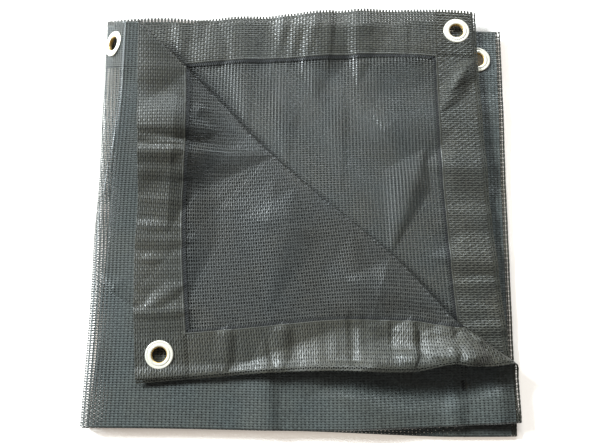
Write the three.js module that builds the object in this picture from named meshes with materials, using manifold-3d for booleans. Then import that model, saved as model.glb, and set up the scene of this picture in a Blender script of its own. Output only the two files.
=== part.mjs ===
// A square tarp of knitted mesh, folded in quarters and lying on its lowest quarter.
// The free corner of the upper quarter is turned back over a diagonal crease.
// Millimetres, Z up, X to the right, Y away from the front edge.

import * as THREE from 'three';
import { mergeVertices } from 'three/addons/utils/BufferGeometryUtils.js';
import loadManifold from 'manifold-3d';

const wasm = await loadManifold();
wasm.setup();

// The opened tarp: half its side, the width of the border turned to the inside, and the two plies
const HALF = 382;
const HEM = 46;
const CLOTH = 1;
const HEM_PLY = 1;
const SEAM_GAP = 0.3;
const HEM_STEP = 0.4;

// Eyelets: outside and hole diameters, flange thickness and the clearance they keep to the border
const EYELET = { outer: 25, hole: 13, barrel: 1.1, flange: 0.8, edge: 0.9, clearance: 0.3, segments: 20 };

// Heights from each quarter to the next one up
const REST_LEVEL = CLOTH / 2;
const HEMS_FACING = 4;
const BACKS_FACING = 1.9;
const FLAP_RISE = 2.6;

// Extra room that the eyelets in the free corners need under each quarter
const CORNER_LOFT = { lowest: 1.2, third: 1.2, second: 1.0, fromX: 45, toX: 105, fromY: 45, toY: 105 };

// Half widths of the rounded folds
const FRONT_FOLD = HEMS_FACING / 2;
const INNER_FOLD = BACKS_FACING / 2;
const OUTER_FOLD = 4.5;
const FRONT_ARC = FRONT_FOLD * Math.PI / 2;
const INNER_ARC = INNER_FOLD * Math.PI / 2;
const OUTER_ARC = OUTER_FOLD * Math.PI / 2;

// The back end of the outer left fold stands open as a flat slope that carries an eyelet
const SLOPE = { angle: THREE.MathUtils.degToRad(42), flat: 26, upperRadius: 6, lowerRadius: 2.5 };
const SLOPE_UPPER_ARC = SLOPE.upperRadius * SLOPE.angle;
const SLOPE_LOWER_ARC = SLOPE.lowerRadius * (Math.PI - SLOPE.angle);
const SLOPE_LENGTH = SLOPE_UPPER_ARC + SLOPE.flat + SLOPE_LOWER_ARC;
const SLOPE_EYELET = SLOPE_LENGTH / 2 - SLOPE_UPPER_ARC - SLOPE.flat / 2;
const SLOPE_END = slopePoint(SLOPE_LENGTH);
const SLOPE_REACH = { fromX: -156, toX: -100, fromRow: 0.85, toRow: 0.4 };
const SLOPE_SHIFT = { x: -SLOPE_END.across, y: -8 };

// Plan of the folded quarters: where the corners of each one lie, and how far its free edges bow
const OUTER_LEFT = { foldCorner: [-184.5, -180], leftTop: [-184, 202] };
const INNER_LEFT = { foldCorner: [-181.5, -180], leftTop: [-168, 195] };
const UPPER_FRONT_END = [196, -175];
const LOWER_FRONT_END = [193, -186];
const QUARTERS = {
  upper: { ...OUTER_LEFT, frontEnd: UPPER_FRONT_END, freeCorner: [194, 200], backBow: 0, sideBow: 0 },
  second: { ...INNER_LEFT, frontEnd: UPPER_FRONT_END, freeCorner: [176.5, 208], backBow: 7, sideBow: -6 },
  third: { ...INNER_LEFT, frontEnd: LOWER_FRONT_END, freeCorner: [201, 192], backBow: 0, sideBow: 0 },
  lowest: { ...OUTER_LEFT, frontEnd: LOWER_FRONT_END, freeCorner: [171, 205], backBow: 0, sideBow: 0 },
};

// The diagonal crease, the place where the turned corner comes to lie, and the crease's unevenness
const CREASE_START = new THREE.Vector2(-153, 193);
const CREASE_END = new THREE.Vector2(178, -131);
const FLAP_CORNER = new THREE.Vector2(-139, -144);
const CREASE_BOWS = [
  { at: 0.38, offset: -3, width: 0.14 },
  { at: 0.72, offset: 6, width: 0.13 },
];
const CREASE_LOFT = { plain: 2.4, back: -1.4, front: 4, endShare: 0.25, reach: 42 };

// Soft ridges in the cloth, each along a line on the plan
const RIDGES = {
  second: [
    { from: [12, 135], to: [6, 225], height: 4, width: 34 },
    { from: [-92, 140], to: [-96, 225], height: 2, width: 30 },
    { from: [62, 8], to: [112, 84], height: 3, width: 24 },
    { from: [165, 52], to: [120, 44], height: 2.5, width: 22 },
    { from: [170, -50], to: [130, -56], height: 2.5, width: 24 },
  ],
  upper: [
    { from: [-30, -185], to: [-36, -100], height: 1.5, width: 26 },
    { from: [150, -185], to: [150, -100], height: 1.5, width: 30 },
  ],
  flap: [
    { from: [-165, 74], to: [-20, 74], height: 4, width: 26 },
    { from: [-165, 2], to: [-95, -4], height: 3, width: 24 },
    { from: [-165, -58], to: [-110, -54], height: 2, width: 18 },
    { from: [52, -95], to: [44, -20], height: 2.5, width: 28 },
    { from: [105, -118], to: [150, -126], height: 5, width: 32 },
    { from: [60, -138], to: [105, -118], height: 3, width: 30 },
  ],
};

// Divisions of the cloth: runs of each quarter and the turns of its folds
const RUN_STEPS = 13;
const FOLD_STEPS = 6;
const SLOPE_STEPS = { upper: 2, flat: 4, lower: 4 };
const CREASE_STEPS = 5;
const STRIP_ROWS = 3;

// Closeness of points that count as one, in turns of the crease, decimals and millimetres
const SNAP = 0.04;
const FLAT_DECIMALS = 4;
const MERGED_WITHIN = 1e-4;
const PROBE = 0.05;

// Finishes
const MESH_FINISH = new THREE.MeshStandardMaterial({ color: 0x2c3130, roughness: 0.6, metalness: 0 });
const BORDER_FINISH = new THREE.MeshStandardMaterial({ color: 0x24282a, roughness: 0.5, metalness: 0 });
const METAL_FINISH = new THREE.MeshStandardMaterial({ color: 0xd8d0b4, roughness: 0.28, metalness: 1 });

const { clamp, lerp: mix, smoothstep } = THREE.MathUtils;
const rise = (value, from, to) => smoothstep((value - from) / (to - from), 0, 1);

// A bow over a run: nothing at both ends, 1 in the middle
const bow = (share) => 4 * share * (1 - share);

// A soft hump: 1 in the middle and almost nothing beyond twice its width
const hump = (away, width) => Math.exp(-((away / width) ** 2));

// A point along the open slope: how far it has gone across and down from the upper quarter
function slopePoint(length) {
  const { angle, flat, upperRadius, lowerRadius } = SLOPE;
  const upperTurn = THREE.MathUtils.clamp(length / upperRadius, 0, angle);
  const straight = THREE.MathUtils.clamp(length - SLOPE_UPPER_ARC, 0, flat);
  const lowerLength = length - SLOPE_UPPER_ARC - flat;
  const lowerTurn = angle + THREE.MathUtils.clamp(lowerLength / lowerRadius, 0, Math.PI - angle);
  const across = -upperRadius * Math.sin(upperTurn) - straight * Math.cos(angle)
    - lowerRadius * (Math.sin(lowerTurn) - Math.sin(angle));
  const drop = upperRadius * (1 - Math.cos(upperTurn)) + straight * Math.sin(angle)
    + lowerRadius * (Math.cos(angle) - Math.cos(lowerTurn));
  return { across, drop };
}

// How much of the open slope a row of the cloth has: all of it at the back edge, none at the front
function slopeShare(row) {
  return rise(row, SLOPE_REACH.toRow, SLOPE_REACH.fromRow);
}

// Plan of one quarter, from shares of its run from the left fold and from the front fold
function quarterPlan(name, across, along) {
  const { foldCorner, frontEnd, leftTop, freeCorner, backBow, sideBow } = QUARTERS[name];
  const shifted = name === 'upper' ? slopeShare(along) * (1 - across) : 0;
  const [x, y] = [0, 1].map((axis) => mix(
    mix(foldCorner[axis], frontEnd[axis], across),
    mix(leftTop[axis], freeCorner[axis], across),
    along,
  ));
  return new THREE.Vector2(
    x + SLOPE_SHIFT.x * shifted + sideBow * across * bow(along),
    y + SLOPE_SHIFT.y * shifted + backBow * along * bow(across),
  );
}

// Height that soft ridges add at a place on the plan
function ridgeHeight(ridges, place) {
  let height = 0;
  for (const ridge of ridges) {
    const start = new THREE.Vector2(...ridge.from);
    const line = new THREE.Vector2(...ridge.to).sub(start);
    const share = clamp(place.clone().sub(start).dot(line) / line.lengthSq(), 0, 1);
    const away = place.distanceTo(start.addScaledVector(line, share));
    height += ridge.height * hump(away, ridge.width);
  }
  return height;
}

// The crease's own directions, and a place on the plan measured from it
const CREASE_LENGTH = CREASE_START.distanceTo(CREASE_END);
const CREASE_ALONG = CREASE_END.clone().sub(CREASE_START).normalize();
const CREASE_BEYOND = new THREE.Vector2(-CREASE_ALONG.y, CREASE_ALONG.x);

function creaseBow(along) {
  const share = along / CREASE_LENGTH;
  return CREASE_BOWS.reduce((sum, { at, offset, width }) => sum + offset * hump(share - at, width), 0);
}

function creasePlace(place) {
  const from = place.clone().sub(CREASE_START);
  const along = from.dot(CREASE_ALONG);
  return { along, beyond: from.dot(CREASE_BEYOND) - creaseBow(along) };
}

function creaseLine(along) {
  return CREASE_START.clone()
    .addScaledVector(CREASE_ALONG, along)
    .addScaledVector(CREASE_BEYOND, creaseBow(along));
}

// Heights of the middle of the cloth in every quarter, at a place on the plan
function heights(place) {
  const { fromX, toX, fromY, toY } = CORNER_LOFT;
  const loft = rise(place.x, fromX, toX) * rise(place.y, fromY, toY);
  const [frontY, backY] = [OUTER_LEFT.foldCorner[1], OUTER_LEFT.leftTop[1]];
  const row = (place.y - frontY) / (backY - frontY);
  const slope = slopeShare(row) * rise(place.x, SLOPE_REACH.toX, SLOPE_REACH.fromX);
  const lowest = REST_LEVEL + CORNER_LOFT.lowest * loft;
  const third = lowest + HEMS_FACING + CORNER_LOFT.third * loft;
  const second = third + BACKS_FACING + CORNER_LOFT.second * loft + ridgeHeight(RIDGES.second, place);
  const lying = second + HEMS_FACING + ridgeHeight(RIDGES.upper, place);
  const upper = mix(lying, lowest + SLOPE_END.drop, slope);
  return { lowest, third, second, upper };
}

// Height of the turned corner, which lies on the upper quarter and stands higher at its crease
function flapHeight(place) {
  const { along, beyond } = creasePlace(place);
  const share = along / CREASE_LENGTH;
  const ends = CREASE_LOFT.back * rise(share, CREASE_LOFT.endShare, 0)
    + CREASE_LOFT.front * rise(share, 1 - CREASE_LOFT.endShare, 1);
  const loft = (CREASE_LOFT.plain + ends) * hump(beyond, CREASE_LOFT.reach);
  return heights(place).upper + FLAP_RISE + loft + ridgeHeight(RIDGES.flap, place);
}

// Half width and length of the bend at the crease
function creaseBend(along) {
  const line = creaseLine(along);
  const halfWidth = (flapHeight(line) - heights(line).upper) / 2;
  return { line, halfWidth, length: Math.PI * halfWidth };
}

// Direction in which the turned corner runs back from the crease, so that it ends at its place
const FREE_CORNER = creasePlace(new THREE.Vector2(...QUARTERS.upper.freeCorner));
const FREE_BEND = creaseBend(FREE_CORNER.along);
const FLAP_RUN = FLAP_CORNER.clone()
  .sub(FREE_BEND.line)
  .divideScalar(FREE_CORNER.beyond - FREE_BEND.length);

// How far round the front fold a row of the cloth has gone, and its share of a quarter's run from there
function frontTurn(b) {
  return clamp(b / FRONT_ARC, -1, 1) * Math.PI / 2;
}

function frontRun(b) {
  return Math.max(0, (Math.abs(b) - FRONT_ARC) / (HALF - FRONT_ARC));
}

// Half length of the left fold's bend in a row of the cloth
function leftArc(b) {
  const outerShare = (1 + Math.sin(frontTurn(b))) / 2;
  const outerArc = mix(OUTER_ARC, SLOPE_LENGTH / 2, slopeShare(frontRun(b)));
  return { outerShare, arc: mix(INNER_ARC, outerArc, outerShare) };
}

// Plan of the folded quarters before the corner is turned, with the share that each quarter has
function foldedPlan(a, b) {
  const { outerShare, arc } = leftArc(b);
  const row = frontRun(b);
  const leftTurn = clamp(a / arc, -1, 1);
  const run = Math.max(0, (Math.abs(a) - arc) / (HALF - arc));

  const slope = slopeShare(row) * outerShare;
  const sloped = slopePoint((1 - leftTurn) * SLOPE_LENGTH / 2);
  const slopedOver = 1 - sloped.drop / SLOPE_END.drop;
  const slopedBulge = sloped.across - (1 - slopedOver) * SLOPE_END.across;
  const roundOver = (1 + Math.sin(leftTurn * Math.PI / 2)) / 2;
  const roundBulge = -mix(INNER_FOLD, OUTER_FOLD, outerShare) * Math.cos(leftTurn * Math.PI / 2);
  const over = mix(roundOver, slopedOver, slope);

  const shares = {
    upper: outerShare * over,
    second: (1 - outerShare) * over,
    third: (1 - outerShare) * (1 - over),
    lowest: outerShare * (1 - over),
  };
  const frontBulge = -FRONT_FOLD * Math.cos(frontTurn(b));
  const place = new THREE.Vector2(mix(roundBulge, slopedBulge, slope), frontBulge);
  for (const [name, share] of Object.entries(shares)) {
    place.addScaledVector(quarterPlan(name, run, row), share);
  }
  return { place, shares };
}

// True where a flat point belongs to the upper quarter clear of its folds
function onUpperQuarter(a, b) {
  return b >= FRONT_ARC && a >= leftArc(b).arc;
}

// How far round the crease a flat point has gone: up to 0 before the bend, from 1 after it
function creaseTurn(a, b) {
  if (!onUpperQuarter(a, b)) return -1;
  const { along, beyond } = creasePlace(foldedPlan(a, b).place);
  return beyond / creaseBend(along).length;
}

// The middle of the folded cloth, from a flat point of the opened tarp
function foldedPoint(a, b) {
  const { place, shares } = foldedPlan(a, b);
  const { along, beyond } = creasePlace(place);
  if (!onUpperQuarter(a, b) || beyond <= 0) {
    const levels = heights(place);
    const z = Object.entries(shares).reduce((sum, [name, share]) => sum + share * levels[name], 0);
    return new THREE.Vector3(place.x, place.y, z);
  }
  const { line, halfWidth, length } = creaseBend(along);
  const turn = Math.min(beyond / length, 1) * Math.PI;
  const turned = line.clone()
    .addScaledVector(CREASE_BEYOND, halfWidth * Math.sin(turn))
    .addScaledVector(FLAP_RUN, Math.max(beyond - length, 0));
  const z = beyond < length
    ? mix(heights(line).upper, flapHeight(line), (1 - Math.cos(turn)) / 2)
    : flapHeight(turned);
  return new THREE.Vector3(turned.x, turned.y, z);
}

// Frame of the cloth at a flat point, with Z towards the side that the border is turned to
function foldedFrame(a, b) {
  const alongA = foldedPoint(a + PROBE, b).sub(foldedPoint(a - PROBE, b)).normalize();
  const alongB = foldedPoint(a, b + PROBE).sub(foldedPoint(a, b - PROBE));
  const inside = alongB.clone().cross(alongA).normalize();
  return { point: foldedPoint(a, b), alongA, alongB: inside.clone().cross(alongA), inside };
}

// Places between two distances from the middle line, in even steps
function evenStops(from, to, steps) {
  return Array.from({ length: steps + 1 }, (_, index) => mix(from, to, index / steps));
}

// Stops of the left fold, set so that the flat of the slope lies between two of them
const SLOPE_STOPS = [
  ...evenStops(0, SLOPE_UPPER_ARC, SLOPE_STEPS.upper),
  ...evenStops(SLOPE_UPPER_ARC, SLOPE_UPPER_ARC + SLOPE.flat, SLOPE_STEPS.flat).slice(1),
  ...evenStops(SLOPE_UPPER_ARC + SLOPE.flat, SLOPE_LENGTH, SLOPE_STEPS.lower).slice(1),
].map((length) => 1 - 2 * length / SLOPE_LENGTH).reverse();

// One row of flat points across the tarp, from the edge of the lowest side to that of the upper side
function rowPoints(b) {
  const { arc } = leftArc(b);
  const hemFrom = HALF - HEM;
  const panel = evenStops(arc, hemFrom - HEM_STEP / 2, RUN_STEPS).slice(1);
  const runs = [...panel, hemFrom + HEM_STEP / 2, HALF - HEM / 2, HALF];
  const left = runs.map((run) => -run).reverse();
  const bend = SLOPE_STOPS.map((stop) => stop * arc);
  return [...left, ...bend, ...runs].map((a) => ({ a, b, turn: creaseTurn(a, b) }));
}

// Cells of a patch of cloth between rows, as polygons of flat points
function patchCells(rows) {
  const points = rows.map(rowPoints);
  const cells = [];
  for (let row = 1; row < points.length; row += 1) {
    for (let column = 1; column < points[row].length; column += 1) {
      cells.push([
        points[row - 1][column - 1],
        points[row - 1][column],
        points[row][column],
        points[row][column - 1],
      ]);
    }
  }
  return cells;
}

// The two parts of a cell on either side of a given turn of the crease
function splitCell(cell, level) {
  const before = [];
  const after = [];
  cell.forEach((point, index) => {
    const next = cell[(index + 1) % cell.length];
    const here = point.turn - level;
    const there = next.turn - level;
    if (here < SNAP) before.push(point);
    if (here > -SNAP) after.push(point);
    if ((here >= SNAP && there <= -SNAP) || (here <= -SNAP && there >= SNAP)) {
      const [low, high] = here < there ? [point, next] : [next, point];
      const share = (level - low.turn) / (high.turn - low.turn);
      const cut = { a: mix(low.a, high.a, share), b: mix(low.b, high.b, share), turn: level };
      before.push(cut);
      after.push(cut);
    }
  });
  const clearOfCut = (point) => Math.abs(point.turn - level) >= SNAP;
  return [before, after].filter((part) => part.length > 2 && part.some(clearOfCut));
}

// Cells of a patch, cut along the lines where the crease begins, turns and ends
function creasedCells(rows) {
  let cells = patchCells(rows);
  for (let step = 0; step <= CREASE_STEPS; step += 1) {
    cells = cells.flatMap((cell) => splitCell(cell, step / CREASE_STEPS));
  }
  return cells;
}

// A closed solid of cloth: the cells laid in their folds, with a thickness on each side of the middle
function clothGeometry(rows, insideDepth) {
  const index = new Map();
  const outer = [];
  const inner = [];
  const triangles = [];
  const edges = new Map();

  const vertex = (point) => {
    const key = `${point.a.toFixed(FLAT_DECIMALS)} ${point.b.toFixed(FLAT_DECIMALS)}`;
    if (!index.has(key)) {
      const { point: middle, inside } = foldedFrame(point.a, point.b);
      index.set(key, outer.length);
      outer.push(middle.clone().addScaledVector(inside, -CLOTH / 2));
      inner.push(middle.clone().addScaledVector(inside, insideDepth(point.a)));
    }
    return index.get(key);
  };
  for (const cell of creasedCells(rows)) {
    const corners = cell.map(vertex);
    for (let corner = 2; corner < corners.length; corner += 1) {
      triangles.push([corners[0], corners[corner - 1], corners[corner]]);
    }
    corners.forEach((from, at) => {
      const to = corners[(at + 1) % corners.length];
      edges.set(`${from} ${to}`, [from, to]);
    });
  }

  const count = outer.length;
  const faces = triangles.flatMap(([one, two, three]) => [
    [one, two, three],
    [one + count, three + count, two + count],
  ]);
  for (const [from, to] of edges.values()) {
    if (!edges.has(`${to} ${from}`)) {
      faces.push([to, from, from + count], [to, from + count, to + count]);
    }
  }
  const geometry = new THREE.BufferGeometry();
  geometry.setAttribute('position', new THREE.Float32BufferAttribute(
    [...outer, ...inner].flatMap((point) => point.toArray()), 3));
  geometry.setIndex(faces.flat());
  return geometry;
}

// Solids for cutting, and the geometry of a cut solid
function solidOf(geometry) {
  const bare = geometry.clone();
  bare.deleteAttribute('normal');
  bare.deleteAttribute('uv');
  const merged = mergeVertices(bare, MERGED_WITHIN);
  return new wasm.Manifold(new wasm.Mesh({
    numProp: 3,
    vertProperties: new Float32Array(merged.attributes.position.array),
    triVerts: new Uint32Array(merged.index.array),
  }));
}

function geometryOf(solid) {
  const mesh = solid.getMesh();
  const geometry = new THREE.BufferGeometry();
  geometry.setAttribute('position', new THREE.BufferAttribute(new Float32Array(mesh.vertProperties), 3));
  geometry.setIndex(new THREE.BufferAttribute(new Uint32Array(mesh.triVerts), 1));
  return geometry;
}

// Eyelets: the strip that each one is pressed into, and its flat place, in from the edges of the tarp
const EYELETS = [
  { name: 'eyelet_flap', strip: 'border_strip_outer', a: HALF - 25, b: HALF - 21 },
  { name: 'eyelet_second', strip: 'border_strip_inner', a: HALF - 21, b: -(HALF - 18) },
  { name: 'eyelet_third', strip: 'border_strip_inner', a: -(HALF - 24), b: -(HALF - 30) },
  { name: 'eyelet_lowest', strip: 'border_strip_outer', a: -(HALF - 21), b: HALF - 21 },
  { name: 'eyelet_fold', strip: 'border_strip_outer', a: SLOPE_EYELET, b: HALF - 23 },
];
const BORDER_MIDDLE = HEM_PLY / 2;
const FLANGE_FROM = (CLOTH + HEM_PLY) / 2 + EYELET.clearance;
const BARREL_RADIUS = EYELET.hole / 2 + EYELET.barrel;

function eyeletGeometry() {
  const holeRadius = EYELET.hole / 2;
  const outerRadius = EYELET.outer / 2;
  const face = FLANGE_FROM + EYELET.flange;
  const rim = FLANGE_FROM + EYELET.flange / 2;
  const upperHalf = [
    [BARREL_RADIUS, FLANGE_FROM],
    [outerRadius, FLANGE_FROM],
    [outerRadius, rim],
    [outerRadius - EYELET.edge, face],
    [holeRadius + EYELET.edge, face],
    [holeRadius, rim],
  ];
  const lowerHalf = upperHalf.map(([radius, height]) => [radius, -height]).reverse();
  const outline = [...upperHalf, ...lowerHalf, upperHalf[0]];
  const profile = outline.map(([radius, height]) => new THREE.Vector2(radius, height));
  return new THREE.LatheGeometry(profile, EYELET.segments);
}

// Places an object of an eyelet, turned on the Y axis, in the border
function setInBorder(object, eyelet) {
  const { point, alongA, alongB, inside } = foldedFrame(eyelet.a, eyelet.b);
  const turned = new THREE.Matrix4().makeBasis(alongA, inside, alongB.clone().negate());
  object.quaternion.setFromRotationMatrix(turned);
  object.position.copy(point).addScaledVector(inside, BORDER_MIDDLE);
  object.updateMatrix();
  return object;
}

// A border strip with its eyelet holes
function stripGeometry(name, rows) {
  let solid = solidOf(clothGeometry(rows, () => CLOTH / 2 + HEM_PLY));
  for (const eyelet of EYELETS.filter((row) => row.strip === name)) {
    const radius = BARREL_RADIUS + EYELET.clearance;
    const punch = new THREE.CylinderGeometry(radius, radius, 2 * FLANGE_FROM, EYELET.segments);
    const placed = setInBorder(new THREE.Object3D(), eyelet);
    solid = solid.subtract(solidOf(punch.applyMatrix4(placed.matrix)));
  }
  return geometryOf(solid);
}

function named(name, geometry, material) {
  const mesh = new THREE.Mesh(geometry, material);
  mesh.name = name;
  return mesh;
}

// The whole tarp
const sheetEdge = HALF - HEM - SEAM_GAP;
const sheetRows = [
  ...evenStops(-sheetEdge, -FRONT_ARC, RUN_STEPS),
  ...evenStops(-FRONT_ARC, FRONT_ARC, FOLD_STEPS).slice(1),
  ...evenStops(FRONT_ARC, sheetEdge, RUN_STEPS).slice(1),
];
const sheetDepth = (a) => CLOTH / 2 + (Math.abs(a) > HALF - HEM ? HEM_PLY : 0);
const outerRows = evenStops(HALF - HEM, HALF, STRIP_ROWS);
const innerRows = evenStops(-HALF, HEM - HALF, STRIP_ROWS);

const tarp = new THREE.Group();
tarp.add(named('mesh_sheet', clothGeometry(sheetRows, sheetDepth), MESH_FINISH));
tarp.add(named('border_strip_outer', stripGeometry('border_strip_outer', outerRows), BORDER_FINISH));
tarp.add(named('border_strip_inner', stripGeometry('border_strip_inner', innerRows), BORDER_FINISH));
for (const eyelet of EYELETS) {
  tarp.add(setInBorder(named(eyelet.name, eyeletGeometry(), METAL_FINISH), eyelet));
}

// The origin is the middle of the underside's box
const box = new THREE.Box3().setFromObject(tarp, true);
const middle = box.getCenter(new THREE.Vector3());
tarp.position.set(-middle.x, -middle.y, -box.min.z);

export default tarp;
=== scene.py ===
import math
from collections import namedtuple

import bpy
import numpy as np
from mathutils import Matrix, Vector


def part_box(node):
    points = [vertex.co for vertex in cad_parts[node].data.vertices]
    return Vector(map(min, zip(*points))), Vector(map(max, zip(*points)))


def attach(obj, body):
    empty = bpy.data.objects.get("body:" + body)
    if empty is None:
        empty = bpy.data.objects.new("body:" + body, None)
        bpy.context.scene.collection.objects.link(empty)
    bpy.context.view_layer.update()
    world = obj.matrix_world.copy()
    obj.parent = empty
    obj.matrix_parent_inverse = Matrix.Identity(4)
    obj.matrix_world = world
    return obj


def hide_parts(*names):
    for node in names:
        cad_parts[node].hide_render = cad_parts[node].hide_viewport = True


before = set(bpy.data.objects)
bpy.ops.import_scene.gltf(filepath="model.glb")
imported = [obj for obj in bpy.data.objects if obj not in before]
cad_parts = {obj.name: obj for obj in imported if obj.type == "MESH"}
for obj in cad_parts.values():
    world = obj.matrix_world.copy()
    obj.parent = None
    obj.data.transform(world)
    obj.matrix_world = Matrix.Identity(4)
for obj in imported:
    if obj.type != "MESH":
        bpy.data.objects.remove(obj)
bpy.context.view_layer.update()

# A folded tarp of knitted mesh: its yarns, turned border, stitching and eyelets.
# Sizes are millimetres, and a place on the plan is a complex number: X real, Y imaginary.

MM = 0.001

# The opened tarp: half its side, the width of the turned border and the gap between its two plies
HALF = 382
HEM = 46
PLY_GAP = 1.0
EDGE_RADIUS = PLY_GAP / 2

# Knitted mesh: pitch of the chains and of the yarns laid through them
CHAIN_PITCH = 3.42
INLAY_PITCH = 2.18

# Each chain is a flat yarn that swings from side to side and rises and falls once in every row.
# The laid-in yarns are crowned, and swing from one chain to the next.
CHAIN_SWAY = 0.3
CHAIN_LOW = -0.1
CHAIN_HIGH = 0.16
INLAY_SWAY = 0.36

# Widths of both yarns, the share of them that is left at the left fold, where the mesh is drawn open, the
# lean of the chains, the crown of the laid-in yarns and the rise of every second one: on the panel's inside,
# on its denser outside and in the border at the back. The border at the side leans more and is crowned more.
# The turned corner lies the other way round: its yarns lean less, and those of its panel are finer.
PANEL_YARN = {"chain": 1.24, "inlay": 0.9, "at_fold": 1, "lean": 0.25, "crown": 0.13, "rib": 0}
FACE_YARN = {"chain": 2, "inlay": 1.55, "at_fold": 0.52, "lean": 0.12, "crown": 0.1, "rib": 0}
BORDER_YARN = {"chain": 1.95, "inlay": 1.38, "at_fold": 1, "lean": 0.37, "crown": 0.12, "rib": 0.16}
SIDE_BORDER_YARN = {**BORDER_YARN, "lean": 0.5, "crown": 0.21}
FLAP_YARN = {**PANEL_YARN, "chain": 1.05, "inlay": 0.8, "lean": 0.08, "crown": 0.12}
FLAP_BORDER_YARN = {**BORDER_YARN, "lean": 0.05, "crown": 0.07}
FLAP_SIDE_BORDER_YARN = {**BORDER_YARN, "lean": 0.16, "crown": 0.15}

# Distances from the left fold at which the mesh is drawn open and at which it is full again
FOLD_OPENING = (8, 38)

# The upper quarter's outside is as dense only this far from its two folds: the turned corner covers the rest
FACE_BAND = {"from_left": 52, "from_front": 62}

# The turned edges are open: yarns run round them, and at the sides chains run along them.
# Depths of the open edge at the side and at the back of each quarter, widths of the yarns that cross it, and
# places from the edge and widths of the chains. The crossing yarns reach a little under the knit.
EDGE_DEPTH = {"upper": (4.2, 0), "second": (4.2, 2.6), "third": (4.2, 0), "lowest": (4.2, 4.6)}
EDGE_BAR = {"side": 0.6, "back": 2, "reach": 1, "steps": 9}
EDGE_CHAINS = [(-0.2, 2.6), (2.9, 1.1)]

# The border's inner edge: slanted stitches over it and a rolled edge beside them. A stitch narrows to its
# ends by its taper, and on the cloth's other face it has only a share of its size.
STITCH = {"pitch": 2.15, "length": 3.4, "width": 2, "slant": 0.5, "taper": 1.2, "crown": 0.25, "proud": 0.12}
STITCH_BACK_SHARE = 0.35
ROLL = {"width": 1.8, "crown": 0.25, "inset": 2.4, "step": 4.3}

# The turned ply's yarns lie between those of the ply under it, and where both borders are turned at a corner
# the second one adds a share of its height
TURNED_PHASE = 0.5
TURNED_CORNER_SHARE = 0.5

# Small puckers of the sewn border, as waves along it: length, height and start of each, and how far they
# fade into the panel
PUCKERS = [(13.1, 0.06, 0.4), (29, 0.12, 1.7), (47, 0.2, 2.9)]
PUCKER_FADE = 14

# Eyelets: radii and heights of the pressed ring, among them the radius within which its metal is painted as
# shaded, and the radius up to which the cloth is punched away
EYELET = {"outer": 12.5, "hole": 6.5, "barrel": 7.3, "bore": 7.4, "face": 2.1, "under": 1.3, "segments": 64}
EYELET_PUNCH = 8.1

# The ring's two rounded edges: radius, the angle that each turns through and its steps. The rim lies a
# little lower, and is turned under.
EYELET_ROLL = {"radius": 1.5, "turn": 1.35, "steps": 8}
EYELET_RIM = {"radius": 0.75, "turn": 2.2, "steps": 8, "drop": 0.1, "inset": 1.4}

# The step pressed in the ring's face: distances from the outer edge and depths
EYELET_STEP = [(3.4, 0), (3.1, 0.06), (2.8, 0.36), (2.4, 0.3)]

# Height of the lowest quarter, its least height over the floor, heights from each quarter to the next one
# up, and the air between them that grows towards the free corner
REST_LEVEL = 0.5
FLOOR_CLEARANCE = 0.02
HEMS_FACING = 4
BACKS_FACING = 1.9
FLAP_RISE = 2.6
CORNER_LOFT = {"lowest": 1.2, "third": 1.2, "second": 1.0, "x": (45, 105), "y": (45, 105)}

# Half widths of the rounded folds, and the lengths of cloth in half of each
FRONT_FOLD = HEMS_FACING / 2
INNER_FOLD = BACKS_FACING / 2
OUTER_FOLD = 4.5
FRONT_ARC = FRONT_FOLD * math.pi / 2
INNER_ARC = INNER_FOLD * math.pi / 2
OUTER_ARC = OUTER_FOLD * math.pi / 2

# The back end of the outer left fold stands open as a flat slope that carries an eyelet
SLOPE = {"angle": math.radians(42), "flat": 26, "upper": 6, "lower": 2.5}
SLOPE_UPPER_ARC = SLOPE["upper"] * SLOPE["angle"]
SLOPE_LOWER_ARC = SLOPE["lower"] * (math.pi - SLOPE["angle"])
SLOPE_LENGTH = SLOPE_UPPER_ARC + SLOPE["flat"] + SLOPE_LOWER_ARC
SLOPE_EYELET = SLOPE_LENGTH / 2 - SLOPE_UPPER_ARC - SLOPE["flat"] / 2

# Where the upper quarter comes down to the slope along X, the shares of the rows between which the fold
# opens, and how far the slope's upper end is shifted along Y
SLOPE_X = (-60, -152)
SLOPE_ROWS = (0.4, 0.85)
SLOPE_BACK_SHIFT = -8

# Plan of the folded quarters: where the corners of each one lie, and how far its free edges bow
OUTER_LEFT = {"fold": -184.5 - 180j, "left": -184 + 202j}
INNER_LEFT = {"fold": -181.5 - 180j, "left": -168 + 195j}
UPPER_FRONT_END = 196 - 175j
LOWER_FRONT_END = 193 - 186j
QUARTERS = {
    "upper": {**OUTER_LEFT, "front": UPPER_FRONT_END, "free": 194 + 200j, "back_bow": 0, "side_bow": 0},
    "second": {**INNER_LEFT, "front": UPPER_FRONT_END, "free": 176.5 + 208j, "back_bow": 7, "side_bow": -6},
    "third": {**INNER_LEFT, "front": LOWER_FRONT_END, "free": 201 + 192j, "back_bow": 0, "side_bow": 0},
    "lowest": {**OUTER_LEFT, "front": LOWER_FRONT_END, "free": 171 + 205j, "back_bow": 0, "side_bow": 0},
}

# Unevenness of two back borders: where along them, how far and over what width they are shifted, and the
# share of the rows from which that grows
BACK_BOWS = {
    "second": [
        {"at": 0.3, "offset": 1.6, "width": 0.2, "from": 0},
        {"at": 0.7, "offset": 2, "width": 0.17, "from": 0},
        {"at": 0.92, "offset": 4.4, "width": 0.13, "from": 0.956},
    ],
    "lowest": [{"at": 0.13, "offset": 7.5, "width": 0.18, "from": 0.7}],
}

# Unevenness of the front folds and of the left fold: how far they are shifted back and to the right, and the
# share of the rows over which that fades
FRONT_BOWS = {
    "upper": [{"at": 0.58, "offset": -5.6, "width": 0.36}],
    "lower": [{"at": 0.85, "offset": -3.2, "width": 0.25}],
}
FRONT_BOW_FADE = 0.3
LEFT_BOWS = [{"at": 0.3, "offset": 3.4, "width": 0.3}]

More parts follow.
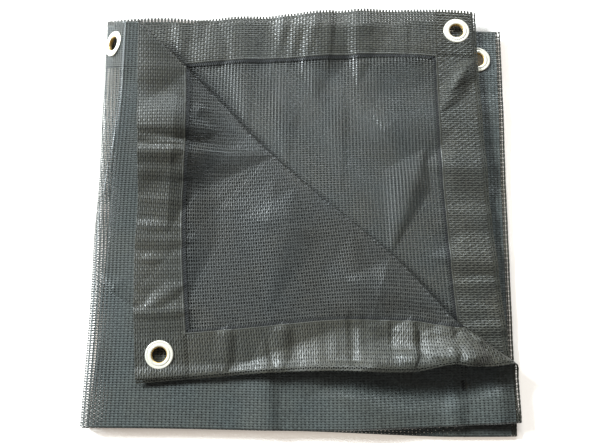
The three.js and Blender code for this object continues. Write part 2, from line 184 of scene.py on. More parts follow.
# Each quarter's side of the left and front folds, and the side of the cloth that shows: 1 inside, -1 outside
SIDES = {"upper": (1, 1), "second": (1, -1), "third": (-1, -1), "lowest": (-1, 1)}
INSIDE_SHOWS = {"upper": -1, "second": 1, "third": -1, "lowest": -1}

# The diagonal crease, the place where the turned corner comes to lie, and the crease's unevenness
CREASE_START = -153 + 193j
CREASE_END = 178 - 131j
FLAP_CORNER = -139 - 144j
CREASE_BOWS = [
    {"at": 0.38, "offset": -3, "width": 0.14},
    {"at": 0.72, "offset": 6, "width": 0.13},
    {"at": 1.06, "offset": 8, "width": 0.09},
]

# Height of the crease's roll, what is added at its two ends and over what share, and how far it reaches
CREASE_LOFT = {"plain": 3.1, "back": -1.4, "front": 0.4, "end_share": 0.25, "reach": 42}

# How far the raised front edge of the turned corner is drawn back, by its place along X. That grows between
# two places along Y, and over a run from the crease.
FLAP_PULLS = [
    {"at": 118, "offset": 7, "width": 46},
    {"at": 50, "offset": 3, "width": 40},
]
FLAP_PULL_ROWS = (-60, -128)
FLAP_PULL_START = 30

# Soft folds in the cloth: the line of the crest on the plan, the shares of the line over which it grows and
# fades, its height between them, and how far its two flanks reach to the left and to the right of the line
Fold = namedtuple("Fold", "start end grow fade height left right")
FOLDS = {
    "second": [
        Fold(-114 + 214j, -112 + 165j, 0.2, 0.4, 1.2, 10, 8),
        Fold(-80 + 205j, -78 + 156j, 0.6, 0.15, 1.6, 12, 20),
        Fold(-58 + 216j, -46 + 96j, 0.05, 0.75, 2.6, 26, 34),
        Fold(-8 + 218j, -24 + 146j, 0.1, 0.75, 0.9, 8, 10),
        Fold(10 + 218j, -10 + 146j, 0.1, 0.75, 0.9, 8, 10),
        Fold(22 + 218j, 6 + 146j, 0.1, 0.75, 0.8, 8, 10),
        Fold(20 + 222j, 19 + 128j, 0.05, 0.7, 5.8, 60, 46),
        Fold(32 + 218j, 31 + 146j, 0.05, 0.7, 1.6, 7, 30),
        Fold(62 + 218j, 60 + 138j, 0.05, 0.7, 3.6, 32, 18),
        Fold(64 + 218j, 62 + 110j, 0.05, 0.6, 3, 84, 60),
        Fold(107 + 216j, 106 + 146j, 0.1, 0.7, 0.7, 7, 6),
        Fold(-12 + 150j, -8 + 55j, 0.4, 0.6, 1.2, 16, 20),
        Fold(44 + 142j, 43 + 32j, 0.3, 0.5, 0.8, 6, 16),
        Fold(48 + 156j, 142 + 160j, 0.3, 0.3, 2, 6, 28),
        Fold(73 + 107j, 102 + 75j, 0.5, 0.5, 1.2, 14, 5),
        Fold(121 + 68j, 87 - 28j, 0.3, 0.7, 4.2, 17, 32),
        Fold(172 + 160j, 140 + 109j, 0.2, 0.3, 2.4, 12, 12),
        Fold(150 + 128j, 164 + 150j, 0.5, 0.5, 1.6, 6, 6),
        Fold(184 + 150j, 193 - 112j, 0.15, 0.12, 1.6, 8, 52),
        Fold(126 + 56j, 190 + 50j, 0.35, 0.1, 4, 36, 30),
        Fold(136 + 12j, 188 + 6j, 0.4, 0.25, 1.2, 9, 16),
        Fold(126 - 32j, 192 - 39j, 0.4, 0.1, 2.6, 28, 14),
        Fold(140 - 58j, 190 - 55j, 0.4, 0.3, 1.1, 7, 12),
        Fold(134 - 76j, 180 - 80j, 0.3, 0.5, 0.7, 7, 8),
        Fold(140 - 99j, 192 - 96j, 0.5, 0.1, 1.1, 8, 8),
    ],
    "upper": [
        Fold(-22 - 190j, -27 - 107j, 0.05, 0.5, 2, 26, 9),
        Fold(58 - 190j, 58 - 135j, 0.1, 0.4, 3.6, 48, 64),
        Fold(20 - 145j, 190 - 145j, 0.35, 0.35, -4, 18, 24),
        Fold(138 - 190j, 140 - 140j, 0.1, 0.5, 1.6, 12, 9),
        Fold(176 - 190j, 179 - 133j, 0.1, 0.4, 3, 26, 14),
        Fold(-176 - 49j, -143 - 76j, 0.4, 0.6, 1.8, 12, 6),
    ],
    "flap": [
        Fold(-157 + 87j, -76 + 85j, 0.05, 0.45, 6.2, 34, 32),
        Fold(-100 + 140j, -99 + 34j, 0.35, 0.5, 4, 60, 50),
        Fold(-98 + 56j, -97 - 66j, 0.3, 0.4, 2.4, 26, 54),
        Fold(-95 + 107j, -80 + 104j, 0.3, 0.7, 1.2, 6, 9),
        Fold(-157 + 77j, -98 + 71j, 0.05, 0.4, 1.5, 5, 4),
        Fold(-157 + 62j, -22 + 63j, 0.04, 0.56, 6.4, 12, 36),
        Fold(-157 + 28j, -98 + 26j, 0.05, 0.3, 3.6, 38, 40),
        Fold(-150 + 43j, -95 + 42j, 0.2, 0.2, 0.9, 10, 7),
        Fold(-157 - 12j, -92 - 18j, 0.1, 0.35, 1.6, 17, 14),
        Fold(-150 - 3j, -98 - 7j, 0.3, 0.5, 0.7, 7, 4),
        Fold(-139 - 35j, -122 - 35j, 0.4, 0.4, 0.5, 6, 6),
        Fold(-133 - 78j, -101 - 59j, 0.3, 0.3, 1.1, 10, 7),
        Fold(-150 - 84j, -95 - 81j, 0.4, 0.2, 0.9, 11, 7),
        Fold(-62 + 14j, 2 + 4j, 0.6, 0.4, 1, 34, 18),
        Fold(-2 + 26j, -24 - 78j, 0.3, 0.7, 2.4, 36, 48),
        Fold(52 - 14j, 54 - 92j, 0.5, 0.2, 1.6, 22, 30),
        Fold(48 - 54j, 128 - 79j, 0.35, 0.65, 3.4, 30, 26),
        Fold(-160 - 141j, 60 - 129j, 0.1, 0.3, 1.6, 8, 4),
        Fold(-10 - 136j, 205 - 135j, 0.78, 0.21, 14, 36, 24),
        Fold(-60 - 136j, 134 - 132j, 0.5, 0.4, 9, 36, 20),
        Fold(42 - 121j, 168 - 121j, 0.6, 0.25, 4.6, 29, 20),
        Fold(49 - 84j, 50 - 130j, 0.1, 0.1, -0.7, 8, 4),
        Fold(81 - 92j, 80 - 125j, 0.1, 0.15, 0.9, 3, 18),
        Fold(103 - 91j, 102 - 128j, 0.25, 0.2, 3, 6, 22),
        Fold(134 - 93j, 135 - 128j, 0.25, 0.2, 2.8, 7, 24),
        Fold(147 - 102j, 153 - 130j, 0.35, 0.2, 4.4, 14, 18),
        Fold(-60 - 98j, -62 - 135j, 0.1, 0.3, 1.4, 8, 12),
        Fold(-10 - 95j, -12 - 132j, 0.1, 0.3, 1.4, 8, 12),
    ],
}

# How far a fold goes on past its two ends, the rounding of its crest, the share of its flanks that is
# smoothed and the least share to which it fades
FOLD_FADE = 4
FOLD_ROUNDING = 1.2
FOLD_SMOOTHED = 0.6
FOLD_LEAST = 0.001

# Where the eyelets are pressed in, measured on the opened tarp
EYELETS = {
    "eyelet_flap": (HALF - 25, HALF - 21),
    "eyelet_second": (HALF - 21, -(HALF - 18)),
    "eyelet_third": (-(HALF - 24), -(HALF - 30)),
    "eyelet_lowest": (-(HALF - 21), HALF - 21),
    "eyelet_fold": (SLOPE_EYELET, HALF - 23),
}

# The solids that the borders of the quarters replace
BORDER_NODES = {
    "upper": "border_strip_outer",
    "second": "border_strip_inner",
    "third": "border_strip_inner",
    "lowest": "border_strip_outer",
}

# Step along the cloth by which its directions are found
PROBE = 0.05

# Materials: scale and detail of their noise, and the part of it over which a colour or a gloss changes
NOISE_SPAN = (0.3, 0.7)
YARN_TINT = {"scale": 28, "detail": 4, "span": (0.35, 0.65)}
YARN_TONE = {"scale": 420, "detail": 3, "low": 0.6, "high": 1.4, "roughness": 0.1}
METAL_CLOUD = {"scale": 160, "detail": 4, "roughness": (0.42, 0.28), "metallic": 0.5}
FLOOR_GRAIN = {"scale": 40, "detail": 3, "roughness": 0.9}
FLOOR_COLOURS = ((0.91, 0.89, 0.86), (0.94, 0.92, 0.9))

# Yarns: two tints and the roughness. Metals: two colours.
YARNS = {
    "mesh_yarn": ((0.048, 0.05, 0.046), (0.052, 0.05, 0.042), 0.4),
    # The turned corner's yarn is a slightly lighter copy of the mesh yarn: painted light
    "mesh_flap_painted_light_yarn": ((0.051, 0.053, 0.05), (0.055, 0.053, 0.046), 0.4),
    # The outside's yarn is a lighter, bluer copy of the mesh yarn: painted light on the cloth's outside
    "mesh_face_painted_light_yarn": ((0.054, 0.062, 0.059), (0.058, 0.062, 0.055), 0.42),
    "border_yarn": ((0.043, 0.043, 0.035), (0.048, 0.045, 0.034), 0.44),
    # The yarn of the borders at the quarters' sides is a lighter copy of the border yarn: painted light on
    # hems that the lamps leave darker
    "side_border_painted_light_yarn": ((0.056, 0.056, 0.047), (0.062, 0.058, 0.045), 0.43),
    # Near black: partly the thread's own dark colour, partly painted shade of the groove that the stitches
    # pull along the border's edge
    "stitching_thread_and_painted_shade": ((0.005, 0.005, 0.005), (0.007, 0.007, 0.006), 0.6),
}
METALS = {
    # One metal in two colours: the ring's face is paler, a painted highlight, and its bore deeper gold,
    # painted shade
    "eyelet_lit_face_metal": ((0.96, 0.89, 0.73), (0.98, 0.94, 0.82)),
    "eyelet_shaded_bore_metal": ((0.62, 0.42, 0.15), (0.74, 0.54, 0.24)),
}

# The pale floor: half its side in metres, and the strength and colour of the light that it gives off though
# it is no lamp: painted light that keeps it pale, and warm where shadows fall on it. There is none of that
# under the tarp: where it starts and is full, in metres.
FLOOR_SIZE = 4
FLOOR_GLOW = 0.52
FLOOR_GLOW_COLOUR = (1, 0.88, 0.76, 1)
FLOOR_SHADE = [("X", -0.162, -0.19), ("X", 0.178, 0.196), ("Y", -0.185, -0.2), ("Y", 0.18, 0.2)]

# Soft boxes: place and size in metres, power and colour. Each points at the middle of the frame.
Softbox = namedtuple("Softbox", "place size power colour")
LIGHTS = {
    "left_softbox": Softbox((-10.4, 6.16, 5.95), (4, 2.8), 5500, (0.87, 0.955, 1)),
    "back_softbox": Softbox((0.5, 5.5, 3.75), (3.2, 1.8), 320, (0.85, 0.945, 1)),
}
WORLD = {"colour": (1, 0.97, 0.93, 1), "strength": 0.16}

# Camera: height of the point it looks at, its distance and angle above the surface, its lens and sensor, and
# the nearest distance that it sees, in metres
LOOK_HEIGHT = 13
CAMERA_DISTANCE = 623.4
CAMERA_ELEVATION = math.radians(78)
LENS = 41.42
SENSOR = 36
CAMERA_NEAR = 0.01


def smooth(value, start, stop):
    share = np.clip((value - start) / (stop - start), 0, 1)
    return share * share * (3 - 2 * share)


def mix(one, other, share):
    return one + (other - one) * share


def bow(share):
    """Nothing at both ends of a run, 1 in its middle."""
    return 4 * share * (1 - share)


def hump(away, width):
    return np.exp(-((away / width) ** 2))


def uneven(rows, share):
    """Sum of the offsets of soft humps along a run."""
    return sum(row["offset"] * hump(share - row["at"], row["width"]) for row in rows)


def along_line(place, start, direction):
    """A place on the plan, measured along a direction and to its left."""
    return (place - start) * np.conj(direction)


# Fold of the cloth, from flat places of the opened tarp to the folded one


def slope_point(length):
    """How far the open slope has gone across and down from the upper quarter."""
    upper_turn = np.clip(length / SLOPE["upper"], 0, SLOPE["angle"])
    straight = np.clip(length - SLOPE_UPPER_ARC, 0, SLOPE["flat"])
    lower_length = np.clip(length - SLOPE_UPPER_ARC - SLOPE["flat"], 0, SLOPE_LOWER_ARC)
    lower_turn = SLOPE["angle"] + lower_length / SLOPE["lower"]
    sine, cosine = math.sin(SLOPE["angle"]), math.cos(SLOPE["angle"])
    upper, lower = SLOPE["upper"], SLOPE["lower"]
    across = -upper * np.sin(upper_turn) - straight * cosine - lower * (np.sin(lower_turn) - sine)
    drop = upper * (1 - np.cos(upper_turn)) + straight * sine + lower * (cosine - np.cos(lower_turn))
    return across, drop


SLOPE_ACROSS, SLOPE_DROP = slope_point(SLOPE_LENGTH)
SLOPE_SHIFT = -SLOPE_ACROSS + SLOPE_BACK_SHIFT * 1j


def slope_share(row):
    return smooth(row, *SLOPE_ROWS)


def quarter_plan(name, across, along):
    quarter = QUARTERS[name]
    front = mix(quarter["fold"], quarter["front"], across)
    back = mix(quarter["left"], quarter["free"], across)
    shifted = slope_share(along) * (1 - across) if name == "upper" else 0
    bows = quarter["side_bow"] * across * bow(along) + 1j * quarter["back_bow"] * along * bow(across)
    for row in BACK_BOWS.get(name, []):
        grown = np.maximum(0, (along - row["from"]) / (1 - row["from"]))
        bows = bows + 1j * grown * uneven([row], across)
    front_bows = FRONT_BOWS["upper" if name in ("upper", "second") else "lower"]
    bows = bows + 1j * smooth(along, FRONT_BOW_FADE, 0) * uneven(front_bows, across)
    bows = bows + (1 - across) * uneven(LEFT_BOWS, along)
    return mix(front, back, along) + SLOPE_SHIFT * shifted + bows


def fold_height(name, place):
    """Height of a layer's folds: each has straight flanks with a soft crest, and narrows to its two ends."""
    height = np.zeros(place.shape)
    for fold in FOLDS[name]:
        line = fold.end - fold.start
        length = abs(line)
        reach = length / 2 + FOLD_FADE + max(fold.left, fold.right)
        near = np.abs(place - (fold.start + fold.end) / 2) < reach
        measured = along_line(place[near], fold.start, line / length)
        rise = (measured.real + FOLD_FADE) / (fold.grow * length + FOLD_FADE)
        fall = (length + FOLD_FADE - measured.real) / (fold.fade * length + FOLD_FADE)
        grown = np.clip(np.minimum(rise, fall), FOLD_LEAST, 1)
        flank = np.where(measured.imag > 0, fold.left, fold.right) * grown
        away = np.hypot(measured.imag, FOLD_ROUNDING) - FOLD_ROUNDING
        share = np.clip(1 - away / flank, 0, 1)
        height[near] += fold.height * grown * mix(share, smooth(share, 0, 1), FOLD_SMOOTHED)
    return height


CREASE_LENGTH = abs(CREASE_END - CREASE_START)
CREASE_ALONG = (CREASE_END - CREASE_START) / CREASE_LENGTH
CREASE_BEYOND = CREASE_ALONG * 1j


def crease_bow(along):
    return uneven(CREASE_BOWS, along / CREASE_LENGTH)


def crease_place(place):
    measured = along_line(place, CREASE_START, CREASE_ALONG)
    return measured.real, measured.imag - crease_bow(measured.real)


def heights(place):
    """Heights of the middle of the cloth in every quarter, at places on the plan."""
    loft = smooth(place.real, *CORNER_LOFT["x"]) * smooth(place.imag, *CORNER_LOFT["y"])
    row = (place.imag - OUTER_LEFT["fold"].imag) / (OUTER_LEFT["left"] - OUTER_LEFT["fold"]).imag
    lowest = REST_LEVEL + CORNER_LOFT["lowest"] * loft
    third = lowest + HEMS_FACING + CORNER_LOFT["third"] * loft
    second = third + BACKS_FACING + CORNER_LOFT["second"] * loft + fold_height("second", place)
    lying = second + HEMS_FACING + fold_height("upper", place)
    upper = mix(lying, lowest + SLOPE_DROP, slope_share(row) * smooth(place.real, *SLOPE_X))
    return {"lowest": lowest, "third": third, "second": second, "upper": upper}


def flap_height(place):
    along, beyond = crease_place(place)
    share = along / CREASE_LENGTH
    back_end = CREASE_LOFT["back"] * smooth(share, CREASE_LOFT["end_share"], 0)
    front_end = CREASE_LOFT["front"] * smooth(share, 1 - CREASE_LOFT["end_share"], 1)
    loft = (CREASE_LOFT["plain"] + back_end + front_end) * hump(beyond, CREASE_LOFT["reach"])
    return heights(place)["upper"] + FLAP_RISE + loft + fold_height("flap", place)


def crease_bend(along):
    line = CREASE_START + CREASE_ALONG * along + CREASE_BEYOND * crease_bow(along)
    half_width = (flap_height(line) - heights(line)["upper"]) / 2
    return line, half_width, math.pi * half_width


def flap_run():
    """The way in which the turned corner runs back from the crease, so that it ends at its place."""
    along, beyond = crease_place(np.array([QUARTERS["upper"]["free"]]))
    line, _, length = crease_bend(along)
    return ((FLAP_CORNER - line) / (beyond - length))[0]


FLAP_RUN = flap_run()


def folded_plan(a, b):
    """Plan of the folded quarters before the corner is turned, and the share that each quarter has."""
    front_turn = np.clip(b / FRONT_ARC, -1, 1) * math.pi / 2
    row = np.maximum(0, (np.abs(b) - FRONT_ARC) / (HALF - FRONT_ARC))
    outer = (1 + np.sin(front_turn)) / 2
    arc = mix(INNER_ARC, mix(OUTER_ARC, SLOPE_LENGTH / 2, slope_share(row)), outer)
    left_turn = np.clip(a / arc, -1, 1)
    run = np.maximum(0, (np.abs(a) - arc) / (HALF - arc))

    slope = slope_share(row) * outer
    across, drop = slope_point((1 - left_turn) * SLOPE_LENGTH / 2)
    sloped_over = 1 - drop / SLOPE_DROP
    sloped_bulge = across - (1 - sloped_over) * SLOPE_ACROSS
    round_over = (1 + np.sin(left_turn * math.pi / 2)) / 2
    round_bulge = -mix(INNER_FOLD, OUTER_FOLD, outer) * np.cos(left_turn * math.pi / 2)
    over = mix(round_over, sloped_over, slope)

    shares = {
        "upper": outer * over,
        "second": (1 - outer) * over,
        "third": (1 - outer) * (1 - over),
        "lowest": outer * (1 - over),
    }
    place = mix(round_bulge, sloped_bulge, slope) - 1j * FRONT_FOLD * np.cos(front_turn)
    for name, share in shares.items():
        place = place + share * quarter_plan(name, run, row)
    on_upper = (b >= FRONT_ARC) & (a >= arc)
    return place, shares, on_upper


def folded_point(a, b):
    """The middle of the folded cloth as rows of X, Y and Z, and how far past the crease each place is."""
    place, shares, on_upper = folded_plan(a, b)
    levels = heights(place)
    height = sum(share * levels[name] for name, share in shares.items())
    along, beyond = crease_place(place)
    past = on_upper & (beyond > 0)
    turned_share = np.zeros(place.shape)

    beyond = beyond[past]
    line, half_width, length = crease_bend(along[past])
    turn = np.clip(beyond / length, 0, 1) * math.pi
    bulge = CREASE_BEYOND * half_width * np.sin(turn)
    run = np.maximum(beyond - length, 0)
    flap = line + bulge + FLAP_RUN * run
    pull = uneven(FLAP_PULLS, flap.real) * smooth(flap.imag, *FLAP_PULL_ROWS)
    place[past] = flap + 1j * pull * smooth(run, 0, FLAP_PULL_START)
    bent_height = mix(heights(line)["upper"], flap_height(line), (1 - np.cos(turn)) / 2)
    height[past] = np.where(beyond < length, bent_height, flap_height(place[past]))
    turned_share[past] = beyond / length
    return np.stack([place.real, place.imag, height], axis=-1), turned_share


def unit(rows):
    return rows / np.linalg.norm(rows, axis=-1, keepdims=True)


def folded_frame(a, b):
    """The folded place, the two ways along the cloth and the way to its inside."""
    point = folded_point(a, b)[0]
    along_a = unit(folded_point(a + PROBE, b)[0] - point)
    along_b = folded_point(a, b + PROBE)[0] - point
    inside = unit(np.cross(along_b, along_a))
    return point, along_a, np.cross(inside, along_a), inside


def frame_shift():
    """From the plan above to the frame: found from the place of one eyelet there."""
    low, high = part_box("eyelet_flap")
    middle = (np.array(low) + np.array(high)) / 2 / MM
    a, b = EYELETS["eyelet_flap"]
    point, _, _, inside = folded_frame(np.array([a]), np.array([b]))
    shift = middle - (point[0] + inside[0] * PLY_GAP / 2)
    return np.array([shift[0], shift[1], 0])


SHIFT = frame_shift()


def cloth_points(a, b, lift):
    """Places on the folded cloth, lifted from its middle to the inside, in the frame's metres."""
    point, _, _, inside = folded_frame(a, b)
    lifted = point + inside * lift[..., None] + SHIFT
    lifted[..., 2] = np.maximum(lifted[..., 2], FLOOR_CLEARANCE)
    return lifted * MM


# Meshes


def mesh_piece(name, points, quads, materials, smoothed=False, kinds=None):
    mesh = bpy.data.meshes.new(name)
    mesh.vertices.add(len(points))
    mesh.vertices.foreach_set("co", points.astype(np.float32).ravel())
    mesh.loops.add(quads.size)
    mesh.loops.foreach_set("vertex_index", quads.astype(np.int32).ravel())
    mesh.polygons.add(len(quads))
    mesh.polygons.foreach_set("loop_start", np.arange(0, quads.size, 4, dtype=np.int32))
    mesh.polygons.foreach_set("use_smooth", np.full(len(quads), smoothed))
    if kinds is not None:
        mesh.polygons.foreach_set("material_index", kinds.astype(np.int32))
    mesh.update(calc_edges=True)
    for material in materials:
        mesh.materials.append(material)
    piece = bpy.data.objects.new(name, mesh)
    bpy.context.scene.collection.objects.link(piece)
    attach(piece, "root")
    return piece


def strips(a, b, lift):
    """Strips of quads from arrays of flat places, shaped as strip, step along it and place across it."""
    index = np.arange(a.size).reshape(a.shape)
    quads = np.stack(
        [index[:, :-1, :-1], index[:, 1:, :-1], index[:, 1:, 1:], index[:, :-1, 1:]], axis=-1
    ).reshape(-1, 4)
    return a.ravel(), b.ravel(), lift.ravel(), quads


def joined(parts):
    a, b, lift, quads = [], [], [], []
    start = 0
    for part in parts:
        a.append(part[0])
        b.append(part[1])
        lift.append(part[2])
        quads.append(part[3] + start)
        start += len(part[0])
    return np.concatenate(a), np.concatenate(b), np.concatenate(lift), np.concatenate(quads)


def fullness(chain, yarn):
    """Share of a yarn's width at a chain: less at the left fold."""
    return mix(yarn["at_fold"], 1, smooth(chain * CHAIN_PITCH, *FOLD_OPENING))


def knit(a_from, a_to, b_from, b_to, yarn, phase):
    """Chains and laid-in yarns of a patch of the opened cloth."""
    chains = np.arange(math.ceil(a_from / CHAIN_PITCH - phase), math.floor(a_to / CHAIN_PITCH - phase) + 1)
    rows = np.arange(math.ceil(b_from / INLAY_PITCH - phase), math.floor(b_to / INLAY_PITCH - phase) + 1)

    chain, step, side = np.meshgrid(chains + phase, range(2 * len(rows)), (-0.5, 0.5), indexing="ij")
    up = step % 2
    a = chain * CHAIN_PITCH + fullness(chain, yarn) * yarn["chain"] * side + CHAIN_SWAY * (2 * up - 1)
    b = np.clip((rows[0] + phase + step / 2) * INLAY_PITCH, b_from, b_to)
    chain_strips = strips(a, b, mix(CHAIN_LOW, CHAIN_HIGH, up) + yarn["lean"] * side)

    row, chain, side = np.meshgrid(rows[:-1], chains, (-0.5, 0, 0.5), indexing="ij")
    swing = 1 - 2 * ((chain + row) % 2)
    a = (chain + phase) * CHAIN_PITCH
    width = yarn["inlay"] * fullness(chain, yarn)
    b = (row + phase + 0.5) * INLAY_PITCH + width * side + INLAY_SWAY * swing
    inlay_strips = strips(a, b, yarn["crown"] * (side == 0) + yarn["rib"] * (row % 2))
    return joined([chain_strips, inlay_strips])


def punched(name, a, b, quads):
    """The quads that lie clear of the eyelets' barrels and of the open edges."""
    middle_a, middle_b = a[quads].mean(axis=1), b[quads].mean(axis=1)
    side_depth, back_depth = EDGE_DEPTH[name]
    kept = (np.abs(middle_a) < HALF - side_depth) & (np.abs(middle_b) < HALF + EDGE_RADIUS - back_depth)
    for eyelet_a, eyelet_b in EYELETS.values():
        kept &= np.hypot(middle_a - eyelet_a, middle_b - eyelet_b) > EYELET_PUNCH
    return quads[kept]


def shown_side(name, a, b):
    side = np.full(a.shape, INSIDE_SHOWS[name])
    if name == "upper":
        side = np.where(folded_point(a, b)[1] > 0.5, 1, side)
    return side


def turned(run):
    """Across the border: the flat place and the lift of cloth that runs round the edge and back."""
    turn = np.clip((run - HALF) / EDGE_RADIUS, 0, math.pi)
    place = np.minimum(run, HALF) + EDGE_RADIUS * np.sin(turn)
    place = place - np.maximum(run - HALF - math.pi * EDGE_RADIUS, 0)
    return place, EDGE_RADIUS * (1 - np.cos(turn))


def pucker(across, along):
    """Waves of the sewn border: full on it, and gone a little way into the panel."""
    waves = sum(height * np.sin(2 * math.pi * along / length + start) for length, height, start in PUCKERS)
    return waves * smooth(across, HALF - HEM - PUCKER_FADE, HALF - HEM)


def quarter_patch(name, a, b, lift, quads, corner_share):
    """A patch of one quarter, turned round its edges: flat places, lifts and the quads that are kept."""
    side_a, side_b = SIDES[name]
    flat_a, lift_a = turned(a)
    flat_b, lift_b = turned(b)
    puckers = pucker(flat_a, flat_b) + pucker(flat_b, flat_a)
    flat_a, flat_b = flat_a * side_a, flat_b * side_b
    lift = lift * shown_side(name, flat_a, flat_b) + puckers
    lift = lift + np.maximum(lift_a, lift_b) + np.minimum(lift_a, lift_b) * corner_share
    return flat_a, flat_b, lift, punched(name, flat_a, flat_b, quads)


def is_face(name, a, b):
    """Where the dense outside of the cloth shows."""
    face = shown_side(name, a, b) < 0
    if name == "upper":
        face &= (np.abs(a) < FACE_BAND["from_left"]) | (np.abs(b) < FACE_BAND["from_front"])
    return face


def cloth_patch(name, yarn, as_face):
    """One quarter of the panel in one yarn: where the dense outside shows, or elsewhere."""
    edge = HALF + EDGE_RADIUS
    a, b, lift, quads = quarter_patch(name, *knit(0, edge, 0, edge, yarn, 0), 0)
    kept = (is_face(name, a, b)[quads].mean(axis=1) > 0.5) == as_face
    used, quads = np.unique(quads[kept], return_inverse=True)
    return a[used], b[used], lift[used], quads.reshape(-1, 4)


def cloth_quarter(name, materials):
    inside = cloth_patch(name, FLAP_YARN if name == "upper" else PANEL_YARN, False)
    # The dense outside takes the second material, the lighter copy of the yarn with painted light
    outside = cloth_patch(name, FACE_YARN, True)
    kinds = np.repeat((0, 1), (len(inside[3]), len(outside[3])))
    a, b, lift, quads = joined([inside, outside])
    return mesh_piece(f"cloth_{name}", cloth_points(a, b, lift), quads, materials, kinds=kinds)


def border_quarter(name, materials):
    edge = HALF + EDGE_RADIUS
    far = HALF + HEM
    side_yarn, back_yarn = SIDE_BORDER_YARN, BORDER_YARN
    if name == "upper":
        side_yarn, back_yarn = FLAP_SIDE_BORDER_YARN, FLAP_BORDER_YARN
    side_knit = knit(edge, far, 0, far, side_yarn, TURNED_PHASE)
    back_knit = knit(0, edge, edge, far, back_yarn, TURNED_PHASE)
    side = quarter_patch(name, *side_knit, TURNED_CORNER_SHARE)
    back = quarter_patch(name, *back_knit, TURNED_CORNER_SHARE)
    rolls = [roll_strip(name, on_side) for on_side in (True, False)]
    bars = [edge_bars(name, on_side) for on_side in (True, False)]
    chains = [edge_chain(name, place, width) for place, width in EDGE_CHAINS]
    a, b, lift, quads = joined([side, back, *rolls, *bars, *chains])
    # The border at the side takes the second material, which off the upper quarter is a lighter yarn with
    # painted light
    kinds = np.repeat((1, 0), (len(side[3]), len(quads) - len(side[3])))
    return mesh_piece(f"border_{name}", cloth_points(a, b, lift), quads, materials, kinds=kinds)


def roll_strip(name, on_side):
    """The rolled inner edge of the border, along one of the quarter's two sides."""
    run = np.arange(0, HALF - HEM + ROLL["step"], ROLL["step"])
    _, along, side = np.meshgrid([0], run, (-0.5, 0, 0.5), indexing="ij")
    across = HALF - HEM + ROLL["inset"] + ROLL["width"] * side
    lift = PLY_GAP + ROLL["crown"] * (side == 0) + pucker(across, along)
    return sided_strips(name, across, along, lift, on_side)


def edge_bars(name, on_side):
    """The yarns that run round the turned edge, along one of the quarter's two sides."""
    depth = EDGE_DEPTH[name][0 if on_side else 1]
    pitch, width = (INLAY_PITCH, EDGE_BAR["side"]) if on_side else (CHAIN_PITCH, EDGE_BAR["back"])
    places = np.arange(pitch / 2, HALF - depth, pitch)
    reach = depth + EDGE_BAR["reach"]
    runs = np.linspace(HALF - reach, HALF + reach + math.pi * EDGE_RADIUS, EDGE_BAR["steps"])
    middle, run, side = np.meshgrid(places, runs, (-0.5, 0.5), indexing="ij")
    across, lift = turned(run)
    along = middle + width * side
    return sided_strips(name, across, along, lift + pucker(across, along), on_side)


def edge_chain(name, place, width):
    """Chains along the open side edge, in the lower ply and in the turned one."""
    plies = (HALF - place, HALF + place + math.pi * EDGE_RADIUS)
    steps = np.arange(0, HALF, INLAY_PITCH)
    ply, along, side = np.meshgrid(plies, steps, (-0.5, 0, 0.5), indexing="ij")
    sway = CHAIN_SWAY * np.where(np.round(along / INLAY_PITCH) % 2, 1, -1)
    across, lift = turned(ply + width * side + sway)
    return sided_strips(name, across, along, lift + pucker(across, along), True)


def sided_strips(name, across, along, lift, on_side):
    """Strips measured across and along a border: the one at the quarter's side, or the one at its back."""
    side_a, side_b = SIDES[name]
    a, b = (across, along) if on_side else (along, across)
    return strips(a * side_a, b * side_b, lift)


def stitch_quarter(name, material):
    """Slanted stitches over the border's inner edge, on both faces of the cloth."""
    run = np.arange(STITCH["pitch"] / 2, HALF - HEM, STITCH["pitch"])
    parts = []
    faces = ((PLY_GAP + STITCH["proud"], 1, 1), (-STITCH["proud"], -1, STITCH_BACK_SHARE))
    start, step, side = np.meshgrid(run, (-0.5, 0, 0.5), (-0.5, 0, 0.5), indexing="ij")
    plump = 1 - STITCH["taper"] * np.abs(step)
    for level, way, size in faces:
        across = HALF - HEM + size * STITCH["length"] * step
        along = start + STITCH["slant"] * STITCH["length"] * step + size * STITCH["width"] * plump * side
        lift = level + way * STITCH["crown"] * plump * (side == 0) + pucker(across, along)
        for on_side in (True, False):
            parts.append(sided_strips(name, across, along, lift, on_side))
    a, b, lift, quads = joined(parts)
    return mesh_piece(f"stitching_{name}", cloth_points(a, b, lift), quads, [material], True)


def eyelet_profile():
    """Outline of the pressed ring, as radius and height, from its barrel over the face and back under."""
    outer, hole, face, under = EYELET["outer"], EYELET["hole"], EYELET["face"], EYELET["under"]
    roll, lip = EYELET_ROLL["radius"], EYELET_RIM["radius"]
    edge = face - EYELET_RIM["drop"]
    roll_turns = np.linspace(0, EYELET_ROLL["turn"], EYELET_ROLL["steps"])
    rim_turns = np.linspace(0, EYELET_RIM["turn"], EYELET_RIM["steps"])
    inner = [(hole + roll - roll * math.cos(t), face - roll + roll * math.sin(t)) for t in roll_turns]
    step = [(outer - inset, face - depth) for inset, depth in EYELET_STEP]
    rim = [(outer - lip + lip * math.sin(t), edge - lip + lip * math.cos(t)) for t in rim_turns]
    top = inner + step + rim + [(outer - EYELET_RIM["inset"], under), (EYELET["barrel"], under)]
    back = [(radius, -height) for radius, height in reversed(top)]
    return np.array(top + back)


